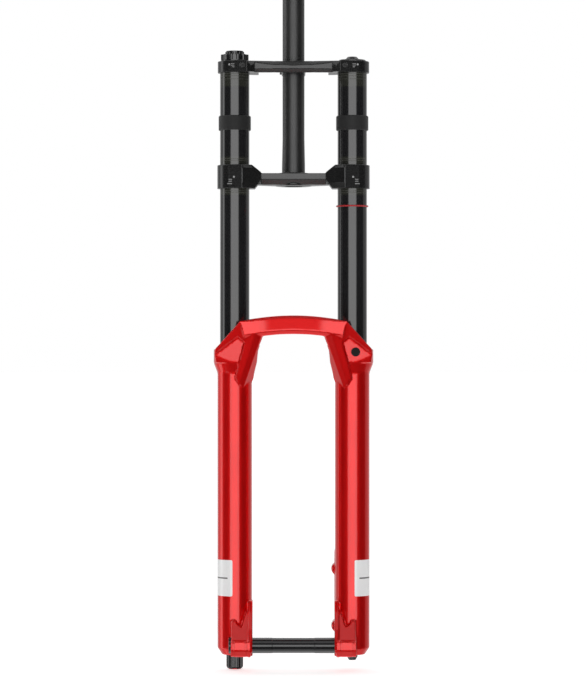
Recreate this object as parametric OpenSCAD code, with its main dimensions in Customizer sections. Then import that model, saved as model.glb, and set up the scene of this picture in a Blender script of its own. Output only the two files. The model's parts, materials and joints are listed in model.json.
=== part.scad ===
// Dual-crown downhill suspension fork, 1-1/8 inch steerer, 38 mm stanchions,
// 20 x 110 mm through-axle, 200 mm of travel.
// Origin: the crown race seat, on the steerer axis. +Z goes up the steerer and
// the fork's front faces -Y. The damper leg is at -X and the air leg is at +X.

/* [Layout] */
// Distance between the two stanchion axes
stanchion_spacing = 152.4; // [151:0.2:154]
// How far the stanchion axes lie ahead of the steerer axis
crown_offset = 23; // [22:0.5:23]
// How far the axle lies ahead of the steerer axis
axle_offset = 56; // [56:0.5:57]
// Wheel travel
travel = 200; // [180:5:200]

/* [Steerer] */
// Diameter of the steerer tube
steerer_d = 28.6; // [28.5:0.1:28.7]
// Diameter of the crown race seat
race_seat_d = 30; // [29.8:0.1:30.2]
// Height of the uncut steerer above the race seat
steerer_top = 260; // [220:5:300]

/* [Upper tubes] */
// Outer diameter of the stanchions
stanchion_d = 38; // [37.6:0.2:38]
// Height of the stanchion tops above the race seat
stanchion_top = 143.2; // [143:0.2:144]
// Lower end of the stanchions
stanchion_base = -380; // [-384:1:-378]

/* [Crowns] */
// Underside of the upper crown
upper_crown_z = 128.3; // [126:0.1:128.3]
// Height of the lower crown's stanchion clamps
lower_clamp_h = 30.6; // [28:0.2:31]
// Top of the lower crown's stanchion clamps
lower_clamp_top = 8.9; // [8:0.1:9]

/* [Lower legs] */
// Outer diameter of the lower legs
leg_d = 44.8; // [44.4:0.2:45.2]
// Outer diameter of the seal bosses at the top of the legs
boss_d = 54.6; // [54:0.2:55]
// Height of the top face of the seal bosses
boss_top = -229.3; // [-231:0.1:-229]
// Underside of the legs
foot_z = -625; // [-627:0.5:-624]
// Radius of the arch's outer edge
arch_r = 320.7; // [318:0.1:322]
// Centre height of the arch's curve
arch_centre_z = -506.8; // [-508:0.1:-506]

/* [Axle] */
// Diameter of the through-axle
axle_d = 20; // [19.9:0.1:20]
// Distance between the two faces that hold the hub
hub_width = 110; // [109.5:0.5:110.5]
// Height of the axle's centre
axle_z = -610.4; // [-611:0.1:-610]
// Distance between the two brake post holes
brake_spacing = 74; // [74:0.1:74.2]

/* [Hidden] */
$fn = 72;

// Clearances
slide_gap = 0.05;
eps = 0.01;

// Tubes
stanchion_x = stanchion_spacing / 2;
stanchion_r = stanchion_d / 2;
stanchion_bore = stanchion_r - 1.75;
steerer_r = steerer_d / 2;
race_r = race_seat_d / 2;
race_seat_h = 10;
pressed_r = race_r + 0.4;
steerer_bore = 11.9;
steerer_base = -17.1;
scribe_z = 145.9;

// Upper crown
upper_crown_h = 14.9;
upper_crown_top = upper_crown_z + upper_crown_h;
upper_clamp_r = 22;
upper_front_y = -40;
// Start, height and slope of the two chamfers above the front face
bow_top = [[-2, 137.5, 3.4], [29.9, 139.4, 9.1]];
bow_low_z = 133.3;
upper_ridge = [60, -52.3];
upper_facet = [83.7, -43.7];
upper_bolt_x = 50.5;
upper_bolt_z = upper_crown_z + upper_crown_h / 2;
grub_x = 65.6;
stem_x = 25.4;
stem_rows_y = [-3.3, -31.9];
ear_y = 27;
ear_x = 13;
pinch_bolt_y = 21.5;

// Lower crown
lower_clamp_r = 22.6;
lower_clamp_z = lower_clamp_top - lower_clamp_h;
lower_boss_r = 20.6;
lower_collar_r = 24.3;
lower_bar_y = -28;
lower_ridge = [66, -50.6];
lower_facet = [83.9, -44.2];
jaw_line = [52.8, -42.6];
jaw_end_y = -33;
jaw_thread_y = -37.6;
jaw_back_y = -10;
lower_bolt_x = 50.5;
lower_bolt_z = [-12.4, -0.4];

// Lower legs
leg_r = leg_d / 2;
boss_r = boss_d / 2;
leg_bore = stanchion_r + 1.2;
bore_floor = -594;
foot_bore = 5;
seal_bore = 24;
seal_floor = boss_top - 11.7;
foam_floor = seal_floor - 6;
axle_y = crown_offset - axle_offset;
axle_r = axle_d / 2;
hub_x = hub_width / 2;
dropout_x = 80.4;
pad_x = 52.4;
arch_inner_r = arch_r - 24;
arch_half_angle = 12.2;
arch_front = 41;
crown_gap = 1.4;
arch_back = crown_gap - lower_ridge.y - crown_offset;
shoulder_back = 24;
crease_spin = 38.3;
shoulder_lean = 15.2;
panel_spin = 57.3;
panel_lean = 7.4;
shoulder_x = [68.5, 93.7, 100.9];
shoulder_z = [-193.5, -221.4, -228.9];
brake_x = 57.3;
brake_face_y = 27;
brake_top_z = -514.8;
brake_post_r = 8.2;
badge_r = 5.8;

// Damper and air spring
rod_r = 5;
cartridge_r = 14;
cartridge_bore = 12.5;
cartridge_top = 60;
head_top = -364;
piston_z = -350;
shaft_foot = bore_floor;

// ---------------------------------------------------------------- helpers

// Places something on a leg's axis; side is -1 for the damper, 1 for the air leg.
module at_leg(side) translate([side * stanchion_x, -crown_offset, 0]) children();

module both_legs() for (side = [-1, 1]) at_leg(side) children();

module both_sides() {
    children();
    mirror([1, 0, 0]) children();
}

// A turned body about Z from its (radius, height) outline.
module turned(outline) rotate_extrude() polygon(outline);

module rod(r, z0, z1) translate([0, 0, z0]) cylinder(r = r, h = z1 - z0);

module ring(r_out, r_in, z0, z1) difference() {
    rod(r_out, z0, z1);
    rod(r_in, z0 - 1, z1 + 1);
}

module rod_x(r, x0, x1, y, z)
    translate([x0, y, z]) rotate([0, 90, 0]) cylinder(r = r, h = x1 - x0);

module rod_y(r, y0, y1, x, z)
    translate([x, y0, z]) rotate([-90, 0, 0]) cylinder(r = r, h = y1 - y0);

// A plate with an (x, z) outline, from y0 back to y1.
module front_plate(outline, y0, y1)
    translate([0, y1, 0]) rotate([90, 0, 0]) linear_extrude(y1 - y0) polygon(outline);

// A plate with a (y, z) outline, from x0 to x1.
module side_plate(outline, x0, x1)
    translate([x0, 0, 0]) rotate([90, 0, 90]) linear_extrude(x1 - x0) polygon(outline);

// A plate with an (x, y) outline, from z0 up to z1.
module plan_plate(outline, z0, z1)
    translate([0, 0, z0]) linear_extrude(z1 - z0) polygon(outline);

// A six-sided key socket, drilled upwards from the origin.
module key_socket(across, depth) cylinder(r = across / sqrt(3), h = depth, $fn = 6);

// A knob's grip: a disc with flutes cut around its rim.
module fluted(r, h, flutes, flute_r, bite) difference() {
    cylinder(r = r, h = h);
    for (i = [0 : flutes - 1])
        rotate(i * 360 / flutes) translate([r + flute_r - bite, 0, -1])
            cylinder(r = flute_r, h = h + 2, $fn = 24);
}

// ---------------------------------------------------------------- steerer and crowns

module steerer_tube() color("#1c1c1e")
    turned([[steerer_bore, steerer_base], [pressed_r, steerer_base], [pressed_r, 0],
        [race_r, 0], [race_r, race_seat_h], [steerer_r, race_seat_h + 35],
        [steerer_r, scribe_z], [steerer_r - 0.2, scribe_z + 0.2], [steerer_r - 0.2,
            scribe_z + 1.4], [steerer_r, scribe_z + 1.6],
        [steerer_r, steerer_top - 0.6], [steerer_r - 0.6, steerer_top],
        [steerer_bore, steerer_top]]);

// Plan of a front jaw, set back by a distance: its face slopes from the clamp's
// ridge to the bar, and is creased on the way.
module jaw_plan(back, z0, z1) plan_plate([[lower_ridge.x, lower_ridge.y + back],
    [jaw_line.x, jaw_line.y + back], [41.9, jaw_end_y + back], [41.9, jaw_back_y],
    [lower_ridge.x, jaw_back_y]], z0, z1);

module lower_lug() intersection() {
    hull() {
        jaw_plan(0, -14.7, 4.2);
        jaw_plan(3.4, lower_clamp_z, lower_clamp_top);
    }
    front_plate([[41.9, -0.4], [53.9, lower_clamp_top], [66, lower_clamp_top],
        [66, lower_clamp_z], [50.2, lower_clamp_z], [46, -16.4], [41.9, -9.7]], -60, 0);
}

module lower_bar() difference() {
    intersection() {
        plan_plate([[-1, lower_bar_y], [60, lower_bar_y], [62, -6], [42, 2], [24, 16], [-1, 20]],
            -17, 0);
        front_plate([[-1, -1.4], [62, -1.4], [62, -16.2], [-1, -16.2]], -60, 30);
    }
    side_plate([[lower_bar_y - 5, -9.3], [lower_bar_y, -9.3], [-21, -17], [-21, -20],
        [lower_bar_y - 5, -20]], -2, 41.9);
}

module lower_crown() color("#232326") difference() {
    union() {
        both_legs() rod(lower_clamp_r, lower_clamp_z, lower_clamp_top);
        rod(lower_boss_r, steerer_base, 0);
        both_sides() {
            lower_lug();
            lower_bar();
            // Flat outer facet of the clamp, from its front ridge.
            plan_plate([lower_ridge, lower_facet, [stanchion_x, -crown_offset],
                [lower_ridge.x, jaw_back_y]], lower_clamp_z, lower_clamp_top);
        }
        turned([[0, steerer_base], [lower_collar_r - 1.2, steerer_base], [lower_collar_r,
            steerer_base + 1.2], [lower_collar_r, -12], [lower_boss_r, -8], [0, -8]]);
    }
    rod(pressed_r, steerer_base - 1, 1);
    both_legs() rod(stanchion_r, lower_clamp_z - 1, lower_clamp_top + 1);
    both_sides() {
        // Pinch slot behind each front jaw.
        translate([41, -30.5, lower_clamp_z - 1]) cube([19, 2, lower_clamp_h + 2]);
        translate([jaw_line.x - 0.6, -48, -13]) cube([1.2, 6.4, 16]);
        for (z = lower_bolt_z) {
            rod_y(3, jaw_thread_y, jaw_back_y + 1, lower_bolt_x, z);
            rod_y(5.2, jaw_back_y, 9, lower_bolt_x, z);
        }
    }
}

// Each bolt's head sits behind its clamp, and its thread ends inside the jaw.
module clamp_bolt(r, length, head_r, head_h) rotate([-90, 0, 0]) difference() {
    union() {
        cylinder(r = r, h = length);
        translate([0, 0, length]) cylinder(r = head_r, h = head_h);
    }
    translate([0, 0, length + 1.5]) key_socket(r * 5 / 3, head_h);
}

module lower_crown_bolts() color("#3a3a3d")
    for (side = [-1, 1], z = lower_bolt_z)
        translate([side * lower_bolt_x, jaw_thread_y + 0.4, z])
            clamp_bolt(3, jaw_back_y - jaw_thread_y - 0.4, 4.75, 5);

module upper_bar() difference() {
    plan_plate([[-1, upper_front_y], [50.1, upper_front_y - 1.5], [51, -44.7], upper_ridge,
        upper_facet, [stanchion_x, -crown_offset], [66, -5], [52, 0], [42, 2], [28, 12], [18, 15],
        [-1, 15]], upper_crown_z, upper_crown_top);
    // The front face is a bow tie: chamfers above and below close in on its middle.
    for (cut = bow_top)
        translate([cut.x, upper_front_y, cut.y]) rotate([0, -cut.z, 0]) rotate([42, 0, 0])
            translate([0, -10, 0]) cube([32, 24, 12]);
    translate([-2, upper_front_y, bow_low_z]) rotate([0, 2.6, 0]) rotate([-42, 0, 0])
        translate([0, -10, -12]) cube([52.5, 24, 12]);
}

module upper_crown() color("#232326") difference() {
    union() {
        both_legs() rod(upper_clamp_r, upper_crown_z, upper_crown_top);
        both_sides() upper_bar();
        // Ears of the steerer clamp.
        translate([-ear_x, 8, upper_crown_z]) cube([2 * ear_x, ear_y - 8, upper_crown_h]);
    }
    rod(steerer_r + slide_gap, upper_crown_z - 1, upper_crown_top + 1);
    both_legs() rod(stanchion_r + slide_gap, upper_crown_z - 1, upper_crown_top + 1);
    translate([-1.25, 10, upper_crown_z - 1]) cube([2.5, 20, upper_crown_h + 2]);
    rod_x(3, -ear_x - 1, ear_x + 1, pinch_bolt_y, upper_bolt_z);
    both_sides() {
        // Step beside each clamp's front, and the underside's slope up to the rear.
        translate([49.4, -46, upper_crown_z - 1]) cube([1.2, 6.4, upper_crown_h + 2]);
        translate([15.5, -33.5, upper_crown_z]) rotate([7.5, 0, 0]) translate([0, 0, -10])
            cube([30, 60, 10]);
        rod_y(3, -55, -46, grub_x, 136.6);
        // Pinch slot: inward from the bore, then out to the rear.
        translate([42, -18, upper_crown_z - 1]) cube([18, 2, upper_crown_h + 2]);
        translate([42, -18, upper_crown_z - 1]) cube([2, 32, upper_crown_h + 2]);
        rod_y(3, -32, 14, upper_bolt_x, upper_bolt_z);
        rod_y(5.2, 0.4, 14, upper_bolt_x, upper_bolt_z);
        for (y = stem_rows_y)
            translate([stem_x, y, upper_crown_z - 1]) cylinder(r = 3, h = upper_crown_h + 2);
    }
}

module upper_crown_bolts() color("#3a3a3d") for (side = [-1, 1]) {
    translate([side * upper_bolt_x, -31, upper_bolt_z]) clamp_bolt(3, 31.4, 4.75, 5);
    translate([side * grub_x, -46, 136.6]) rotate([90, 0, 0]) difference() {
        cylinder(r = 3, h = 1.9);
        translate([0, 0, 0.7]) key_socket(3, 2);
    }
}

module steerer_pinch_bolt() color("#3a3a3d")
    translate([-ear_x, pinch_bolt_y, upper_bolt_z]) rotate([0, 0, -90]) mirror([0, 1, 0])
        translate([0, -2 * ear_x, 0]) clamp_bolt(3, 2 * ear_x, 4.75, 5);

// ---------------------------------------------------------------- stanchions and stops

module stanchion() turned([[stanchion_bore, stanchion_base], [stanchion_r - 0.5, stanchion_base],
    [stanchion_r, stanchion_base + 0.8], [stanchion_r, stanchion_top - 0.4],
    [stanchion_r - 0.4, stanchion_top], [stanchion_bore, stanchion_top]]);

module damper_stanchion() color("#2b2b2e") at_leg(-1) stanchion();

module air_stanchion() color("#2b2b2e") at_leg(1) stanchion();

// Rubber ring that keeps the frame off the stanchion.
module bump_stop() turned([[stanchion_r, 54], [20.3, 54], [20.9, 54.9], [20.9, 71.6],
    [20.1, 72.8], [stanchion_r, 72.8]]);

module damper_bump_stop() color("#111111") at_leg(-1) bump_stop();

module air_bump_stop() color("#111111") at_leg(1) bump_stop();

module sag_ring() color("#c8202c") at_leg(1) translate([0, 0, -44.2])
    rotate_extrude() translate([stanchion_r + 1.05, 0]) circle(r = 1, $fn = 24);

// ---------------------------------------------------------------- air spring, upper end

module air_top_cap() color("#2a2a2c") at_leg(1) difference() {
    turned([[0, 124], [stanchion_bore, 124], [stanchion_bore, stanchion_top],
        [17.85, stanchion_top], [17.85, 144.4], [16.9, 145.4], [3.85, 145.4], [3.85, 148.6],
        [0, 148.6]]);
    rod(2.6, 128, 150);
    rod(1.2, 123, 130);
}

module valve_core() color("#b9975b") at_leg(1) {
    rod(2.6, 136, 145.6);
    rod(1.1, 128.5, 148.2);
}

module valve_cap() color("#202022") at_leg(1) turned([[3.9, 145.5], [9.15, 145.5],
    [9.15, 146.2], [6.1, 149.4], [5.6, 149.6], [0, 149.6], [0, 148.7], [3.9, 148.7]]);

// Three spacers threaded into one another under the cap.
module volume_tokens() color("#d8c64a") at_leg(1) {
    for (i = [0 : 2]) ring(12, 4, 114.5 - 10 * i, 124 - 10 * i);
    ring(7, 4, 95, 124);
}

module air_seal_head() color("#7d7f84") at_leg(1)
    ring(stanchion_bore, rod_r + slide_gap, stanchion_base + 3, head_top);

module damper_seal_head() color("#7d7f84") at_leg(-1)
    ring(stanchion_bore, rod_r + slide_gap, stanchion_base + 3, head_top);

module seal_head_clips() color("#9a9a9a") both_legs()
    ring(stanchion_bore, stanchion_bore - 2.5, stanchion_base + 1.6, stanchion_base + 3);

module top_out_bumper() color("#303030") at_leg(1)
    ring(10, rod_r + 0.4, head_top, head_top + 6);

// ---------------------------------------------------------------- damper, upper end

module damper_top_cap() color("#2a2a2c") at_leg(-1) difference() {
    turned([[0, 126], [stanchion_bore, 126], [stanchion_bore, stanchion_top],
        [17.85, stanchion_top], [17.85, 144], [6, 144], [6, 150.4], [0, 150.4]]);
    rod(2 + slide_gap, 125, 152);
}

// Castellated ring: raised blocks around the rim of a round base.
module high_speed_knob() color("#1b1b1d") at_leg(-1) difference() {
    union() {
        rod(17.4, 144.2, 151.2);
        translate([0, 0, 144.9]) fluted(18.25, 7.2, 12, 5.5, 1.5);
    }
    rod(6 + slide_gap, 143, 153);
    rod(12.7, 150.6, 153);
}

module low_speed_knob() color("#232325") at_leg(-1) {
    rod(2, 34, 151.5);
    difference() {
        union() {
            translate([0, 0, 150.8]) fluted(12.3, 4.9, 18, 1.3, 0.7);
            rod(11.2, 155.7, 156.9);
        }
        rod(2.6, 154.4, 158);
    }
}

module knob_screw() color("#555558") at_leg(-1) difference() {
    rod(2.6, 154.4, 156.7);
    translate([0, 0, 155.4]) key_socket(2, 2);
}

module damper_cartridge() color("#8d9096") at_leg(-1)
    ring(cartridge_r, cartridge_bore, head_top, cartridge_top);

module compression_piston() color("#b08d3c") at_leg(-1) difference() {
    rod(cartridge_bore, 36, 50);
    rod(2.3, 35, 51);
    for (i = [0 : 5]) rotate(60 * i) translate([8, 0, 35]) cylinder(r = 1.8, h = 16);
}

module damper_bladder() color("#1a1a1a") at_leg(-1) turned([[2.4, cartridge_top],
    [cartridge_r, cartridge_top], [15, 66], [15, 116], [9, 126], [2.4, 126], [2.4, 122],
    [8, 122], [13, 114], [13, 68], [12, 63], [2.4, 63]]);

// ---------------------------------------------------------------- lower casting

module leg_outside() turned([[0, foot_z], [leg_r - 6.1, foot_z], [leg_r, foot_z + 9.1],
    [leg_r, -261], [boss_r, boss_top - 17.1], [boss_r, boss_top - 0.8],
    [boss_r - 0.8, boss_top], [0, boss_top]]);

module leg_inside() {
    rod(leg_bore, bore_floor, boss_top + 1);
    rod(foot_bore, foot_z - 1, bore_floor + 1);
    rod(22.8, foam_floor, seal_floor + 0.1);
    rod(seal_bore, seal_floor, boss_top + 1);
}

// Arc of the arch, turned about a Y axis far below it.
module arch_bar() translate([0, 0, arch_centre_z]) rotate([90, 0, 0])
    rotate_extrude(angle = 2 * arch_half_angle, start = 90 - arch_half_angle, $fn = 180)
        polygon([[arch_inner_r, arch_back], [arch_r, arch_back], [arch_r, arch_front - 3],
            [arch_r - 2.4, arch_front], [arch_inner_r + 4.8, arch_front],
            [arch_inner_r, arch_front - 4.5]]);

// A wedge that cuts everything inboard of a crease line: the line starts at
// (x, y, z) and leans outboard and back, and the cut falls back from it.
module crease_cut(x, y, z, lean, fall, back)
    translate([x, y, z]) rotate([back, -lean, 0]) rotate([0, 0, -fall])
        translate([-40, -40, -95]) cube([40, 40, 125]);

// Everything behind a plane through a point of the casting's front. The plane
// falls back towards the outside and the foot: spin says which way, lean by how much.
module behind(x, y, z, spin, lean) translate([x, y, z]) rotate([0, -spin, 0])
    rotate([lean, 0, 0]) translate([-100, 0, -150]) cube([200, 60, 250]);

// Core of a shoulder: the sunken panel in front of the seal boss, and the inner
// wall that runs down into the leg.
module shoulder_core() intersection() {
    front_plate([[38.5, -212.4], [58, -194], [shoulder_x[0], shoulder_z[0]],
        [shoulder_x[1], shoulder_z[1]], [shoulder_x[2], shoulder_z[2]], [102, -236],
        [100, -247.2], [72, -247.2], [70, -262], [64, -281], [53.9, -297], [53.3, -281.4],
        [52.2, -270], [50.3, -258.6], [47.2, -246.4], [45.7, -232], [43.9, -221.4],
        [41.6, -216.6]], -36, -3);
    behind(73.8, -27.9, -246.7, panel_spin, panel_lean);
    behind(49.4, 0.8 - arch_front, -209.7, crease_spin, shoulder_lean);
    side_plate([[-36, -190], [-36, -252], [-23.5, -285], [-4, -300], [-4, boss_top - 1],
        [-shoulder_back, boss_top - 1], [-shoulder_back, -190]], 30, 110);
}

// Raised rib from the arch's corner down to a point on the leg, and the band
// along the shoulder's outer slope.
module shoulder_rib() intersection() {
    front_plate([[39.5, -213.4], [56, -192.5], [shoulder_x[0], shoulder_z[0]],
        [shoulder_x[1], shoulder_z[1]], [shoulder_x[2], shoulder_z[2]], [101.6, -233.5],
        [99.6, -233.8], [71.6, -212.6], [62.6, -220.6], [75, -266.6], [69.6, -275.2],
        [62, -281]], -arch_front, -18);
    behind(49.4, -arch_front, -209.7, crease_spin, shoulder_lean);
    side_plate([[-arch_front, -190], [-arch_front, -285], [-18, -285], [-18, boss_top - 2],
        [-shoulder_back, boss_top - 2], [-shoulder_back, -190]], 30, 110);
}

// Where the arch comes down in front of a seal boss, and runs out on the leg. It is
// thinner where the lower crown's ridges pass behind it at full travel.
module shoulder() difference() {
    union() {
        shoulder_core();
        shoulder_rib();
    }
    plan_plate([[30, -arch_back], [lower_ridge.x, -arch_back],
        lower_facet + [0.1, crown_offset - crown_gap], [84, -10], [30, -10]],
        lower_clamp_z - travel - 2.3, boss_top + 50);
    crease_cut(49.2, -arch_front, -209.7, 17.6, 27, 14.3);
    crease_cut(41.8, -35.4, -214.5, 19.6, 64, 13.1);
}

// Side outline of the axle boss, grown by a margin on its front and underside.
function boss_outline(grow) = [[-46.8 - grow, -605.2 + grow / 2], [-46.8 - grow, -616],
    [-42.4 - grow, -623.3 - grow], [-35, -624.1 - grow], [-1, -624.1 - grow], [-1, -596],
    [-43.5, -603.4]];

module dropout() {
    side_plate(boss_outline(0), 55.4, dropout_x);
    for (x = [[55.4, 59.8], [61.4, 76.2], [77.8, dropout_x]])
        side_plate(boss_outline(0.9), x[0], x[1]);
    // Faceted web above the boss.
    intersection() {
        front_plate([[54.4, -606], [dropout_x - 0.6, -606], [dropout_x - 0.6, -580], [75, -579],
            [72.6, -584.5], [66.6, -587.7], [61.2, -570.6], [54.4, -564]], -48, -3);
        side_plate([[-44.6, -606], [-44, -603.4], [-33, -584], [-20, -562], [-4, -558],
            [-4, -606]], 50, 90);
    }
    // Pad that the hub rests against.
    side_plate([[-46.6, -606], [-42, -590], [-28, -568], [-14, -554.5], [-2, -554.5],
        [-2, -625.6], [-36, -625.9], [-43, -624], [-46.6, -616]], pad_x + 0.4, 58);
}

module dropout_cuts() {
    rod_x(axle_r + slide_gap, pad_x - 2, dropout_x + 2, axle_y, axle_z);
    rod_x(11.5, pad_x - 1, hub_x, axle_y, axle_z);
    translate([pad_x - 1, axle_y - 11.5, axle_z - 20]) cube([hub_x - pad_x + 1, 23, 20]);
}

module brake_post(z) {
    rod_y(brake_post_r, 5, brake_face_y, brake_x, z);
    hull() {
        rod_y(brake_post_r, 3, 18, brake_x, z);
        rod_y(4, 3, 15, brake_x + 12, z + 14);
        rod_y(4, 3, 15, brake_x + 12, z - 14);
    }
}

// Web that ties the two brake posts together along the leg.
module brake_web() side_plate([[1, -489], [15, -502], [18, -510], [15, -522], [12, -540],
    [12, -570], [15, -582], [18, -594], [13, -604], [1, -612]], 53, 64);

module lower_casting() color("#a80f14") difference() {
    union() {
        both_legs() leg_outside();
        translate([0, -crown_offset, 0]) {
            arch_bar();
            both_sides() {
                shoulder();
                dropout();
            }
            brake_post(brake_top_z);
            brake_post(brake_top_z - brake_spacing);
            brake_web();
        }
    }
    both_legs() leg_inside();
    at_leg(-1) rod(8.5, foot_z - 1, foot_z + 8);
    translate([0, -crown_offset, 0]) {
        both_sides() dropout_cuts();
        for (z = [brake_top_z, brake_top_z - brake_spacing])
            rod_y(3, 15, brake_face_y + 1, brake_x, z);
    }
}

module wiper_seal() turned([[stanchion_r + slide_gap, seal_floor], [seal_bore, seal_floor],
    [seal_bore, boss_top], [22.4, boss_top], [21.6, boss_top + 2], [stanchion_r + 0.6, boss_top + 3.2],
    [stanchion_r + slide_gap, boss_top + 2.4]]);

module damper_wiper_seal() color("#151515") at_leg(-1) wiper_seal();

module air_wiper_seal() color("#151515") at_leg(1) wiper_seal();

module foam_ring() ring(22.8, stanchion_r + slide_gap, foam_floor, seal_floor);

module damper_foam_ring() color("#4a4a44") at_leg(-1) foam_ring();

module air_foam_ring() color("#4a4a44") at_leg(1) foam_ring();

module bushing(z) ring(leg_bore, stanchion_r + slide_gap, z, z + 20);

module damper_upper_bushing() color("#5f6a58") at_leg(-1) bushing(foam_floor - 22);

module air_upper_bushing() color("#5f6a58") at_leg(1) bushing(foam_floor - 22);

module damper_lower_bushing() color("#5f6a58") at_leg(-1) bushing(-372);

module air_lower_bushing() color("#5f6a58") at_leg(1) bushing(-372);

module shoulder_badge() color("#161618") translate([0, -crown_offset, 0])
    translate([73.8, -27.9, -246.7]) rotate([0, -panel_spin, 0]) rotate([panel_lean, 0, 0])
        rotate([0, panel_spin, 0]) translate([6.1, 0, 13.7]) rotate([90, 0, 0])
        cylinder(r = badge_r, h = 1.6);

// ---------------------------------------------------------------- damper, lower end

module damper_shaft() color("#c9ccd0") at_leg(-1) ring(rod_r, 2.6, shaft_foot, piston_z);

module rebound_piston() color("#b08d3c") at_leg(-1) difference() {
    rod(cartridge_bore - slide_gap, piston_z, piston_z + 12);
    rod(2.6, piston_z - 1, piston_z + 13);
    for (i = [0 : 5]) rotate(60 * i) translate([8, 0, piston_z - 1]) cylinder(r = 1.6, h = 14);
}

module rebound_needle() color("#c9ccd0") at_leg(-1) {
    rod(2.4, -640, piston_z + 10);
}

module damper_foot_bolt() color("#2a2a2c") at_leg(-1) difference() {
    union() {
        rod(foot_bore, foot_z + 8, shaft_foot);
        rod(7.5, foot_z + 1, foot_z + 7);
        rod(foot_bore, foot_z + 7, foot_z + 8 + eps);
    }
    rod(2.4 + slide_gap, foot_z - 1, shaft_foot + 1);
}

module rebound_knob() color("#1b1b1d") at_leg(-1) difference() {
    union() {
        translate([0, 0, -641]) fluted(10.9, 15.8, 16, 1.5, 0.8);
        turned([[0, -643], [9.4, -643], [10, -642.4], [10.2, -641], [0, -641]]);
    }
    rod(2.4, -640, -624);
    rod(8, -631, -624);
    rod(7.6, -644, -641.8);
}

// Red disc that marks the rebound knob, with the turning direction's dimples.
module rebound_knob_end() color("#b5151c") at_leg(-1) difference() {
    turned([[0, -644], [8, -644], [8.4, -643.6], [8.4, -643], [7.6, -643], [7.6, -641.8],
        [0, -641.8]]);
    for (i = [0 : 3]) rotate(90 * i) translate([5, 0, -644.5]) cylinder(r = 0.8, h = 1);
}

module crush_washers() color("#c58b4a") {
    at_leg(-1) ring(8, foot_bore, foot_z + 7, foot_z + 8);
    at_leg(1) ring(6.9, 4, foot_z - 0.8, foot_z);
}

// ---------------------------------------------------------------- air spring, lower end

module air_shaft() color("#c9ccd0") at_leg(1) difference() {
    union() {
        rod(rod_r, foot_z, piston_z);
        rod(4, foot_z - 6.5, foot_z);
    }
    rod(2.2, foot_z + 30, piston_z + 1);
}

module air_foot_nut() color("#2a2a2c") at_leg(1) difference() {
    turned([[4, foot_z - 0.8], [6.9, foot_z - 0.8], [6.9, foot_z - 3.2], [4.55, foot_z - 7.4],
        [4, foot_z - 7.4]]);
}

module air_piston() color("#7d7f84") at_leg(1) difference() {
    rod(stanchion_bore - 0.1, piston_z, piston_z + 12);
    ring(stanchion_bore + 1, 15.4, piston_z + 4, piston_z + 8);
    rod(2.2, piston_z - 1, piston_z + 6);
}

module air_piston_seal() color("#151515") at_leg(1)
    ring(stanchion_bore - slide_gap, 15.4, piston_z + 4, piston_z + 8);

module bottom_out_bumpers() color("#303030") both_legs()
    ring(12, rod_r, bore_floor, bore_floor + 11);

// ---------------------------------------------------------------- axle

// Hollow, a little slimmer between its two ends, with a low head and a key socket at
// the damper end.
module axle() color("#1d1d1f") translate([0, -axle_offset, axle_z]) rotate([0, 90, 0]) difference() {
    turned([[0, -83.4], [10, -83.4], [10.6, -82.8], [10.6, -dropout_x - 0.1],
        [axle_r, -dropout_x - 0.1], [axle_r, -27.8], [axle_r - 0.3, -27], [axle_r - 0.3, 27],
        [axle_r, 27.8], [axle_r, 79], [axle_r - 0.6, 79.6], [0, 79.6]]);
    rod(7, -64, 80);
    translate([0, 0, -84]) key_socket(8, 21);
}

steerer_tube();
lower_crown();
lower_crown_bolts();
upper_crown();
upper_crown_bolts();
steerer_pinch_bolt();
damper_stanchion();
air_stanchion();
damper_bump_stop();
air_bump_stop();
air_top_cap();
valve_core();
valve_cap();
volume_tokens();
damper_top_cap();
high_speed_knob();
low_speed_knob();
knob_screw();
damper_cartridge();
compression_piston();
damper_bladder();
damper_seal_head();
air_seal_head();
seal_head_clips();
lower_casting();
damper_wiper_seal();
air_wiper_seal();
damper_foam_ring();
air_foam_ring();
damper_upper_bushing();
air_upper_bushing();
damper_lower_bushing();
air_lower_bushing();
damper_shaft();
rebound_piston();
rebound_needle();
rebound_knob();
rebound_knob_end();
damper_foot_bolt();
air_foot_nut();
crush_washers();
air_shaft();
air_piston();
air_piston_seal();
top_out_bumper();
bottom_out_bumpers();
axle();
shoulder_badge();
sag_ring();
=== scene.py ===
"""A dual-crown downhill suspension fork: its finishes, softened castings, graphics and studio, built round
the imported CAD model. Everything is in metres: +Z up the steerer, -Y to the front, damper leg at -X."""

import json
import math

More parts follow.
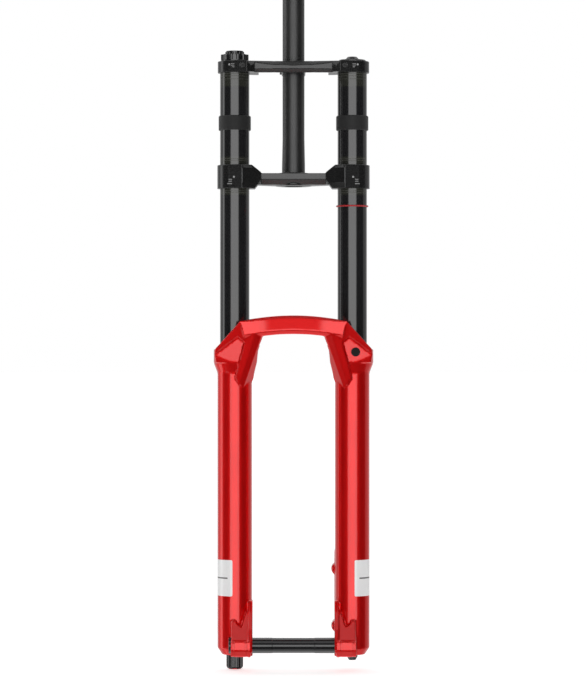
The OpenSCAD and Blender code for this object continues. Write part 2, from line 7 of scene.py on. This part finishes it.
import bpy
import numpy as np
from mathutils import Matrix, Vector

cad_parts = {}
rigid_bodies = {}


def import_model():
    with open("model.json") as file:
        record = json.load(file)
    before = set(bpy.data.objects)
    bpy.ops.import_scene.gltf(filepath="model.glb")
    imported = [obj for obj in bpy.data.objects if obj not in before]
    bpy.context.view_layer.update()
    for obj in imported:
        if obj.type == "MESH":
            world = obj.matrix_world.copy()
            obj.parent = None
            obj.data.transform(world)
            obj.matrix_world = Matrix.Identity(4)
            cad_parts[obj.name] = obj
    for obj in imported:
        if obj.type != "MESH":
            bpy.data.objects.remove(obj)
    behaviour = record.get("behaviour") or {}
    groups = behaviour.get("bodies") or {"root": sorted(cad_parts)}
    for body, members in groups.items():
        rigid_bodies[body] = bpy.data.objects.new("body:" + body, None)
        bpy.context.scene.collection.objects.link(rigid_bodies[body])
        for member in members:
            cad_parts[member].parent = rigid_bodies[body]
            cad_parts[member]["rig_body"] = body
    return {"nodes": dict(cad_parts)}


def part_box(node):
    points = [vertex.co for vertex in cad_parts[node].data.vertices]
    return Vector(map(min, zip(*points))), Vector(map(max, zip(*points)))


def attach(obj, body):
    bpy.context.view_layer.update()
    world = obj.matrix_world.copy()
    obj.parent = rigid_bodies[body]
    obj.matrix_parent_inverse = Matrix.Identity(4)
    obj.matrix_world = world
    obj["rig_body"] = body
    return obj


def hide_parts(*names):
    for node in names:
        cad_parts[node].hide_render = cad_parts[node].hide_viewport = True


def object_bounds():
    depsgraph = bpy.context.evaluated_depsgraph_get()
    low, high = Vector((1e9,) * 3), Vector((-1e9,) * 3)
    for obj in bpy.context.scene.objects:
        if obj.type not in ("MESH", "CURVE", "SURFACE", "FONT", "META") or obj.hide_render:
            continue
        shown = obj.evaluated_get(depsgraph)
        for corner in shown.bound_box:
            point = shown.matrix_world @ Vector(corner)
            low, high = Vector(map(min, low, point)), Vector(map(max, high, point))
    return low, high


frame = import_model()
cad_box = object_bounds()
nodes = frame["nodes"]

MM = 0.001

# --- places worked out from the frame -------------------------------------------------------------------

stanchion_low, stanchion_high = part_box("air_stanchion")
LEG_X = (stanchion_low.x + stanchion_high.x) / 2
LEG_Y = (stanchion_low.y + stanchion_high.y) / 2
casting_low, casting_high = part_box("lower_casting")
lower_crown_low, lower_crown_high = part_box("lower_crown")
upper_crown_low, upper_crown_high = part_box("upper_crown")
BOSS_R = casting_high.x - LEG_X
BOSS_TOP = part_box("air_wiper_seal")[0].z
LEG_R = 22.4 * MM
ARCH_CENTRE_Z = -506.8 * MM
ARCH_INNER_R = 296.7 * MM
ARCH_FRONT = casting_low.y
ARCH_BACK = LEG_Y - 29 * MM
# Lean of the arch face in degrees, and how far out it starts and has finished easing away
ARCH_LEAN = 10.5
ARCH_LEAN_START = 28 * MM
ARCH_LEAN_END = 52 * MM
UPPER_CLAMP_R = upper_crown_high.x - LEG_X
LOWER_CLAMP_R = lower_crown_high.x - LEG_X

# --- camera ---------------------------------------------------------------------------------------------

CAMERA_DISTANCE = 3.6
CAMERA_HEIGHT = -0.2306
CAMERA_LENS = 142.7

camera = bpy.data.objects.new("camera", bpy.data.cameras.new("camera"))
bpy.context.scene.collection.objects.link(camera)
camera.data.sensor_width = 36
camera.data.lens = CAMERA_LENS
camera.data.clip_end = 100
camera.location = (0, LEG_Y - CAMERA_DISTANCE, CAMERA_HEIGHT)
camera.rotation_euler = (math.pi / 2, 0, 0)
bpy.context.scene.camera = camera

# --- shader building ------------------------------------------------------------------------------------


class Graph:
    """Shorthand for building one material's or the world's nodes."""

    def __init__(self, tree):
        self.tree = tree

    def node(self, kind, **settings):
        made = self.tree.nodes.new(kind)
        for name, value in settings.items():
            setattr(made, name, value)
        return made

    def feed(self, socket, value):
        """Links another node's output to a socket, or sets the socket's own value."""
        if isinstance(value, bpy.types.NodeSocket):
            self.tree.links.new(value, socket)
        else:
            socket.default_value = value

    def math(self, operation, *values, clamp=False):
        made = self.node("ShaderNodeMath", operation=operation, use_clamp=clamp)
        for socket, value in zip(made.inputs, values):
            self.feed(socket, value)
        return made.outputs[0]

    def step(self, value, start, end, low=0.0, high=1.0):
        """Low before start and high after end, with a smooth change between them."""
        made = self.node("ShaderNodeMapRange", interpolation_type="SMOOTHSTEP")
        for socket, given in zip(made.inputs, (value, start, end, low, high)):
            self.feed(socket, given)
        return made.outputs[0]

    def between(self, value, low, high, soft):
        """One between low and high, falling to nothing over soft on each side."""
        rise = self.step(value, low - soft / 2, low + soft / 2)
        fall = self.step(value, high - soft / 2, high + soft / 2, 1.0, 0.0)
        return self.math("MULTIPLY", rise, fall)

    def mix(self, factor, first, second, blend="MIX"):
        made = self.node("ShaderNodeMix", data_type="RGBA", blend_type=blend)
        self.feed(made.inputs[0], factor)
        self.feed(made.inputs[6], first)
        self.feed(made.inputs[7], second)
        return made.outputs[2]

    def noise(self, scale, detail=2.0, roughness=0.5, vector=None):
        made = self.node("ShaderNodeTexNoise")
        if vector is None:
            vector = self.place()
        self.feed(made.inputs["Vector"], vector)
        self.feed(made.inputs["Scale"], scale)
        self.feed(made.inputs["Detail"], detail)
        self.feed(made.inputs["Roughness"], roughness)
        return made.outputs[0]

    def place(self):
        """The point's place in the row frame, which rides with its body."""
        return self.node("ShaderNodeTexCoord").outputs["Object"]

    def axes(self):
        made = self.node("ShaderNodeSeparateXYZ")
        self.feed(made.inputs[0], self.place())
        return made.outputs

    def round_leg(self):
        """How far outwards round the leg a point lies from the front, and its height, in millimetres."""
        x, y, z = self.axes()
        out = self.math("SUBTRACT", self.math("ABSOLUTE", x), LEG_X)
        front = self.math("SUBTRACT", LEG_Y, y)
        angle = self.math("ARCTAN2", out, front)
        return self.math("MULTIPLY", angle, LEG_R / MM), self.math("DIVIDE", z, MM)

    def plate(self, across, up, low, high, corner, soft=0.25):
        """One inside a rounded rectangle given by two opposite corners, in the units of across and up."""
        beyond = []
        for value, start, end in ((across, low[0], high[0]), (up, low[1], high[1])):
            away = self.math("ABSOLUTE", self.math("SUBTRACT", value, (start + end) / 2))
            inside = (end - start) / 2 - corner
            beyond.append(self.math("MAXIMUM", self.math("SUBTRACT", away, inside), 0.0))
        squares = [self.math("MULTIPLY", value, value) for value in beyond]
        far = self.math("SQRT", self.math("ADD", *squares))
        return self.step(far, corner - soft, corner, 1.0, 0.0)

    def bump(self, height, depth, strength=1.0):
        made = self.node("ShaderNodeBump")
        self.feed(made.inputs["Strength"], strength)
        self.feed(made.inputs["Distance"], depth)
        self.feed(made.inputs["Height"], height)
        return made.outputs[0]


def new_material(name, **sockets):
    """A material, its graph and its shader, with constant values set on the shader's own sockets."""
    material = bpy.data.materials.new(name)
    material.use_nodes = True
    shader = material.node_tree.nodes["Principled BSDF"]
    for socket, value in sockets.items():
        shader.inputs[socket.replace("_", " ")].default_value = value
    return material, Graph(material.node_tree), shader.inputs


def grey(value, alpha=1.0):
    return (value, value, value, alpha)


# --- materials: one function for each finish ------------------------------------------------------------


# Opposite corners of the plain label on each leg and of its stripe: millimetres outwards round the leg from
# the front, then height
LABEL = ((2.5, -548.5), (44, -501.5))
LABEL_STRIPE = ((9, -526), (37, -524))


def candy_red():
    """Metallic red under a thick clear coat: fine flake in the base, a little orange peel on the coat."""
    material, graph, shader = new_material(
        "candy_red", Coat_Weight=1.0, Coat_Roughness=0.035, Coat_IOR=1.5
    )
    flake = graph.noise(2600, detail=1.0)
    cloud = graph.noise(14, detail=3.0)
    deep = graph.mix(cloud, (0.93, 0.001, 0.001, 1), (1.0, 0.002, 0.003, 1))
    lit = graph.mix(graph.step(flake, 0.56, 0.75, 0.0, 0.5), deep, (1.0, 0.02, 0.02, 1))
    across, up = graph.round_leg()
    label = graph.plate(across, up, *LABEL, 2.0)
    stripe = graph.plate(across, up, *LABEL_STRIPE, 0.6)
    printed = graph.mix(stripe, grey(0.97), grey(0.12))
    graph.feed(shader["Base Color"], graph.mix(label, lit, printed))
    graph.feed(shader["Metallic"], graph.step(label, 0.4, 0.6, 0.72, 0.0))
    graph.feed(shader["Roughness"], graph.step(cloud, 0.2, 0.8, 0.37, 0.44))
    graph.feed(shader["Normal"], graph.bump(flake, 0.02 * MM, 0.5))
    graph.feed(shader["Coat Normal"], graph.bump(graph.noise(420, detail=1.5), 0.008 * MM))
    return material


ETCHED_LINES = (126.7, 123.5, 119.6, 16.6, 14.3, -25.0, -27.4)
TINTED_BANDS = ((110, 128), (9, 19), (-30, -21))


def stanchion_black():
    """Black anodised, honed and polished along the tube, with the etched fitting lines beside each crown."""
    material, graph, shader = new_material("black_anodised", IOR=1.75)
    x, y, z = graph.axes()
    height = graph.math("DIVIDE", z, MM)
    line = 0.0
    for place in ETCHED_LINES:
        line = graph.math("ADD", line, graph.between(height, place - 0.25, place + 0.25, 0.25))
    tint = 0.0
    for low, high in TINTED_BANDS:
        tint = graph.math("ADD", tint, graph.between(height, low, high, 2.5))
    cloud = graph.noise(30, detail=4.0)
    stretched = graph.node("ShaderNodeMapping")
    graph.feed(stretched.inputs["Vector"], graph.place())
    stretched.inputs["Scale"].default_value = (1.0, 1.0, 12.0)
    honing = graph.noise(900, detail=2.0, vector=stretched.outputs[0])
    black = graph.mix(cloud, (0.011, 0.011, 0.012, 1), (0.017, 0.017, 0.018, 1))
    tinted = graph.mix(graph.math("MULTIPLY", tint, 0.5), black, (0.045, 0.046, 0.034, 1))
    etch = graph.math("MULTIPLY", line, 0.4)
    graph.feed(shader["Base Color"], graph.mix(etch, tinted, (0.12, 0.12, 0.1, 1)))
    rough = graph.math("ADD", graph.step(honing, 0.3, 0.7, 0.1, 0.17), graph.math("MULTIPLY", line, 0.3))
    graph.feed(shader["Roughness"], rough)
    etched = graph.math("SUBTRACT", graph.math("MULTIPLY", honing, 0.04), line)
    graph.feed(shader["Normal"], graph.bump(etched, 0.02 * MM))
    return material


# Generic fitting marks on the front of each clamp, in millimetres: a dot (x, z) and bars (low, high)
CLAMP_DOTS = ((76.8, -7.4), (82.8, 137.8))
CLAMP_BARS = (
    ((79.2, -11.2), (83.9, -9.8)),
    ((79.2, -13.7), (83.9, -12.3)),
    ((79.0, -16.8), (85.6, -15.2)),
    ((76.0, 138.0), (80.9, 139.2)),
    ((76.0, 136.0), (80.9, 137.2)),
    ((76.0, 133.8), (79.5, 135.2)),
)


def clamp_marks(graph):
    """One on the marks printed on the clamps, nothing elsewhere."""
    x, y, z = graph.axes()
    across = graph.math("DIVIDE", graph.math("ABSOLUTE", x), MM)
    up = graph.math("DIVIDE", z, MM)
    marks = 0.0
    for spot_x, spot_z in CLAMP_DOTS:
        spot = graph.plate(across, up, (spot_x - 1.4, spot_z - 1.4), (spot_x + 1.4, spot_z + 1.4), 1.4)
        marks = graph.math("ADD", marks, spot)
    for low, high in CLAMP_BARS:
        marks = graph.math("ADD", marks, graph.math("MULTIPLY", graph.plate(across, up, low, high, 0.5), 0.6))
    return graph.math("MULTIPLY", marks, graph.step(y, LEG_Y - 2 * MM, LEG_Y - 1 * MM, 1.0, 0.0))


def blasted_black(name, base, roughness, ior, grain, marked=False):
    """Black metal with a fine blasted or powdered grain, a little polished where edges get rubbed."""
    material, graph, shader = new_material(name, IOR=ior)
    cloud = graph.noise(45, detail=3.0)
    fine = graph.noise(grain, detail=2.0)
    worn = graph.step(graph.node("ShaderNodeNewGeometry").outputs["Pointiness"], 0.53, 0.62)
    rubbed = graph.math("MULTIPLY", worn, graph.step(cloud, 0.42, 0.62))
    body = graph.mix(cloud, grey(base * 0.8), grey(base * 1.2))
    colour = graph.mix(rubbed, body, grey(base * 2.6))
    if marked:
        colour = graph.mix(clamp_marks(graph), colour, grey(0.42))
    graph.feed(shader["Base Color"], colour)
    rough = graph.step(fine, 0.25, 0.75, roughness - 0.04, roughness + 0.05)
    graph.feed(shader["Roughness"], graph.math("SUBTRACT", rough, graph.math("MULTIPLY", rubbed, 0.08)))
    graph.feed(shader["Normal"], graph.bump(fine, 0.012 * MM))
    return material


def rubber(name, dark, light, roughness):
    """Moulded elastomer: dull, with a fine mottled skin and a soft sheen at grazing angles."""
    material, graph, shader = new_material(name, IOR=1.5, Sheen_Weight=0.12, Sheen_Roughness=0.5)
    skin = graph.noise(700, detail=4.0)
    cloud = graph.noise(60, detail=2.0)
    graph.feed(shader["Base Color"], graph.mix(cloud, dark, light))
    graph.feed(shader["Roughness"], graph.step(skin, 0.2, 0.8, roughness - 0.06, roughness + 0.06))
    graph.feed(shader["Normal"], graph.bump(skin, 0.03 * MM))
    return material


def machined(name, colour, roughness, lay=(1.0, 1.0, 25.0)):
    """Bare or anodised metal with turned tool marks whose spacing is set by how far the noise is squeezed."""
    material, graph, shader = new_material(name, Metallic=1.0)
    squeezed = graph.node("ShaderNodeMapping")
    graph.feed(squeezed.inputs["Vector"], graph.place())
    squeezed.inputs["Scale"].default_value = lay
    marks = graph.noise(260, detail=3.0, vector=squeezed.outputs[0])
    cloud = graph.noise(40, detail=3.0)
    darker = tuple(c * 0.78 for c in colour[:3]) + (1,)
    graph.feed(shader["Base Color"], graph.mix(cloud, darker, colour))
    graph.feed(shader["Roughness"], graph.step(marks, 0.25, 0.75, roughness - 0.07, roughness + 0.09))
    graph.feed(shader["Normal"], graph.bump(marks, 0.01 * MM))
    return material


def moulded(name, colour, roughness):
    """Injection-moulded plastic with a spark-eroded texture."""
    material, graph, shader = new_material(name, IOR=1.49)
    grain = graph.noise(1500, detail=2.0)
    cloud = graph.noise(50, detail=2.0)
    darker = tuple(c * 0.85 for c in colour[:3]) + (1,)
    graph.feed(shader["Base Color"], graph.mix(cloud, darker, colour))
    graph.feed(shader["Roughness"], graph.step(grain, 0.3, 0.7, roughness - 0.05, roughness + 0.07))
    graph.feed(shader["Normal"], graph.bump(grain, 0.015 * MM))
    return material


def badge():
    """A plain gloss black disc."""
    material, graph, shader = new_material("badge_black", IOR=1.16)
    grain = graph.noise(300, detail=2.0)
    graph.feed(shader["Base Color"], graph.mix(grain, grey(0.008), grey(0.016)))
    graph.feed(shader["Roughness"], graph.step(grain, 0.3, 0.7, 0.17, 0.24))
    return material


def foam():
    """Open-cell oil-soaked foam: small dented pores in a dull body, their floors darkened as painted shade.
    """
    material, graph, shader = new_material("foam", Roughness=0.95, IOR=1.4)
    cells = graph.node("ShaderNodeTexVoronoi")
    graph.feed(cells.inputs["Vector"], graph.place())
    cells.inputs["Scale"].default_value = 1400
    pore_dent_and_shade = graph.step(cells.outputs["Distance"], 0.25, 0.6)
    # Painted shade: each pore's dented floor is darkened as if shade fell inside the cell.
    graph.feed(shader["Base Color"], graph.mix(pore_dent_and_shade, (0.02, 0.02, 0.022, 1), (0.10, 0.10, 0.11, 1)))
    graph.feed(shader["Normal"], graph.bump(pore_dent_and_shade, 0.12 * MM))
    return material


finishes = {
    "candy_red": candy_red(),
    "black_anodised": stanchion_black(),
    "black_forged": blasted_black("black_forged", 0.012, 0.24, 1.7, 1500, marked=True),
    "steerer_black": blasted_black("steerer_black", 0.012, 0.42, 1.95, 1100),
    "black_bolt": blasted_black("black_bolt", 0.02, 0.33, 1.38, 2200),
    "rubber": rubber("rubber", grey(0.012), grey(0.02), 0.62),
    "red_ring": rubber("red_ring", (0.42, 0.012, 0.016, 1), (0.55, 0.02, 0.026, 1), 0.45),
    "badge_black": badge(),
    "red_anodised": machined("red_anodised", (0.75, 0.015, 0.02, 1), 0.3),
    "steel": machined("steel", (0.62, 0.62, 0.63, 1), 0.25),
    "alloy": machined("alloy", (0.8, 0.8, 0.82, 1), 0.3),
    "brass": machined("brass", (0.82, 0.6, 0.28, 1), 0.28),
    "token_plastic": moulded("token_plastic", (0.72, 0.6, 0.12, 1), 0.5),
    "foam": foam(),
    "bushing_liner": rubber("bushing_liner", (0.05, 0.045, 0.04, 1), (0.09, 0.08, 0.07, 1), 0.5),
    "copper": machined("copper", (0.9, 0.45, 0.3, 1), 0.32),
}

for node in nodes.values():
    for socket in node.material_slots:
        if socket.material.name in finishes:
            socket.material = finishes[socket.material.name]

# --- softened copies of the cast and forged parts ---------------------------------------------------------


def evaluated_mesh(piece):
    """The mesh as its modifiers leave it, on its own."""
    graph = bpy.context.evaluated_depsgraph_get()
    mesh = bpy.data.meshes.new_from_object(piece.evaluated_get(graph))
    piece.modifiers.clear()
    return mesh


def points_of(mesh):
    flat = np.zeros(len(mesh.vertices) * 3, np.float32)
    mesh.vertices.foreach_get("co", flat)
    return flat.reshape(-1, 3)


def true_up(mesh, axis_x, spans, reach):
    """Puts the points that lie within reach of a turned surface back exactly on it. A span is (low, radius
    there, high, radius there) along the upright axis of one leg."""
    points = points_of(mesh)
    across = points[:, :2] - (axis_x, LEG_Y)
    radius = np.hypot(*across.T)
    for low, low_r, high, high_r in spans:
        share = (points[:, 2] - low) / (high - low)
        wanted = low_r + share * (high_r - low_r)
        near = (share > 0) & (share < 1) & (np.abs(radius - wanted) < reach)
        points[near, :2] = (axis_x, LEG_Y) + across[near] * (wanted / radius)[near, None]
    mesh.vertices.foreach_set("co", points.ravel())


def lean_back(mesh, lean):
    """Leans the arch's front face back above its lower edge: by lean degrees in the middle, easing to nothing
    beside the legs. Its back and lower edge stay where they are."""
    points = points_of(mesh)
    x, y, z = points.T
    aside = np.abs(x)
    share = np.clip((ARCH_LEAN_END - aside) / (ARCH_LEAN_END - ARCH_LEAN_START), 0, 1)
    slope = np.tan(np.radians(lean * share * share * (3 - 2 * share)))
    low = ARCH_CENTRE_Z + np.sqrt(np.maximum(ARCH_INNER_R**2 - x * x, 0))
    depth = np.clip((ARCH_BACK - y) / (ARCH_BACK - ARCH_FRONT), 0, 1)
    moving = (z > low) & (y < ARCH_BACK)
    y[moving] += ((z - low) * slope * depth)[moving]
    mesh.vertices.foreach_set("co", points.ravel())


def softened(node, voxel, passes, spans, reach, keep=1.0):
    """A copy of a CAD node with every edge and inside corner rounded, as casting and forging leave them, and
    the turned surfaces of both legs put back true."""
    source = nodes[node]
    piece = bpy.data.objects.new(node + "_finished", source.data.copy())
    bpy.context.scene.collection.objects.link(piece)
    remesh = piece.modifiers.new("voxels", "REMESH")
    remesh.mode = "VOXEL"
    remesh.voxel_size = voxel
    ease = piece.modifiers.new("ease", "SMOOTH")
    ease.factor = 0.5
    ease.iterations = passes
    piece.data = evaluated_mesh(piece)
    if keep < 1:
        thin = piece.modifiers.new("thin", "DECIMATE")
        thin.ratio = keep
        piece.data = evaluated_mesh(piece)
    for axis_x in (-LEG_X, LEG_X):
        true_up(piece.data, axis_x, spans, reach)
    piece.data.shade_smooth()
    piece.data.materials.clear()
    piece.data.materials.append(source.material_slots[0].material)
    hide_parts(node)
    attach(piece, source["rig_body"])
    return piece


crown_spans = [
    (lower_crown_low.z + 3 * MM, LOWER_CLAMP_R, lower_crown_high.z - 1.5 * MM, LOWER_CLAMP_R),
]
upper_crown_spans = [
    (upper_crown_low.z + 1.5 * MM, UPPER_CLAMP_R, upper_crown_high.z - 1.5 * MM, UPPER_CLAMP_R),
]
CONE_TOP = -246.4 * MM
CONE_BASE = -261.0 * MM
LEG_BASE = -598 * MM
casting_spans = [
    (LEG_BASE, LEG_R, CONE_BASE - 1 * MM, LEG_R),
    (CONE_BASE + 1 * MM, LEG_R, CONE_TOP - 1 * MM, BOSS_R),
    (CONE_TOP + 1 * MM, BOSS_R, BOSS_TOP - 1 * MM, BOSS_R),
]

casting = softened(
    "lower_casting", voxel=1.1 * MM, passes=3, spans=casting_spans, reach=0.3 * MM, keep=0.7
)
lean_back(casting.data, ARCH_LEAN)
softened("lower_crown", voxel=0.7 * MM, passes=2, spans=crown_spans, reach=0.05 * MM)
softened("upper_crown", voxel=0.6 * MM, passes=2, spans=upper_crown_spans, reach=0.05 * MM)

# --- studio ---------------------------------------------------------------------------------------------

FLOOR_SIZE = 45
FLOOR_GAP = 0.5 * MM

floor_mesh = bpy.data.meshes.new("floor")
floor_z = cad_box[0].z - FLOOR_GAP
quarters = ((-1, -1), (1, -1), (1, 1), (-1, 1))
corners = [(x * FLOOR_SIZE, y * FLOOR_SIZE, floor_z) for x, y in quarters]
floor_mesh.from_pydata(corners, [], [(0, 1, 2, 3)])
floor = bpy.data.objects.new("floor", floor_mesh)
bpy.context.scene.collection.objects.link(floor)
floor.visible_glossy = False
floor_material, _, _ = new_material(
    "floor", Roughness=0.9, Emission_Color=grey(1), Emission_Strength=0.665, Base_Color=grey(0.8)
)
floor_mesh.materials.append(floor_material)


def softbox(graph, azimuth, elevation, up, centre, width, height, soft=8.0):
    """How much a direction looks into one softbox: azimuths in degrees from the front, towards +X."""
    across = graph.between(azimuth, centre - width / 2, centre + width / 2, soft)
    upright = graph.between(elevation, up - height / 2, up + height / 2, soft)
    return graph.math("MULTIPLY", across, upright)


def studio():
    """White surroundings for the camera; softboxes in front and at the sides and a pale wall behind for
    everything that reflects."""
    world = bpy.data.worlds.new("studio")
    bpy.context.scene.world = world
    world.use_nodes = True
    graph = Graph(world.node_tree)
    separate = graph.node("ShaderNodeSeparateXYZ")
    graph.feed(separate.inputs[0], graph.node("ShaderNodeTexCoord").outputs["Generated"])
    x, y, z = separate.outputs
    azimuth = graph.math("DEGREES", graph.math("ARCTAN2", x, graph.math("MULTIPLY", y, -1.0)))
    elevation = graph.math("DEGREES", graph.math("ARCSINE", z))
    turned_away = graph.math("ABSOLUTE", azimuth)
    wall = graph.step(turned_away, 102, 112, 0.0, 0.42)
    light = graph.math("ADD", wall, graph.step(turned_away, 125, 150, 0.0, 0.38))
    ceiling = graph.math("MULTIPLY", graph.between(elevation, 45, 70, 8), 0.85)
    bounce = graph.step(elevation, -64, -48, 0.8, 0.0)
    light = graph.math("ADD", light, graph.math("ADD", ceiling, bounce))
    boxes = (
        # azimuth, elevation, width, height, brightness
        (0, 0, 61, 22, 2.6),
        (-98, 0, 20, 110, 1.7),
        (101, 0, 12, 110, 0.45),
        (-54, -25, 24, 20, 1.0),
        (0, 24, 61, 22, 0.24),
    )
    for centre, up, width, height, brightness in boxes:
        seen = softbox(graph, azimuth, elevation, up, centre, width, height)
        light = graph.math("ADD", light, graph.math("MULTIPLY", seen, brightness))
    ambient = graph.math("ADD", light, 0.02)
    lamp = graph.node("ShaderNodeBackground")
    graph.feed(lamp.inputs["Strength"], ambient)
    paper = graph.node("ShaderNodeBackground")
    paper.inputs["Strength"].default_value = 1.0
    paper.inputs["Color"].default_value = grey(1)
    choose = graph.node("ShaderNodeMixShader")
    graph.feed(choose.inputs[0], graph.node("ShaderNodeLightPath").outputs["Is Camera Ray"])
    graph.feed(choose.inputs[1], lamp.outputs[0])
    graph.feed(choose.inputs[2], paper.outputs[0])
    graph.feed(world.node_tree.nodes["World Output"].inputs["Surface"], choose.outputs[0])


studio()
bpy.context.scene.view_settings.view_transform = "Standard"
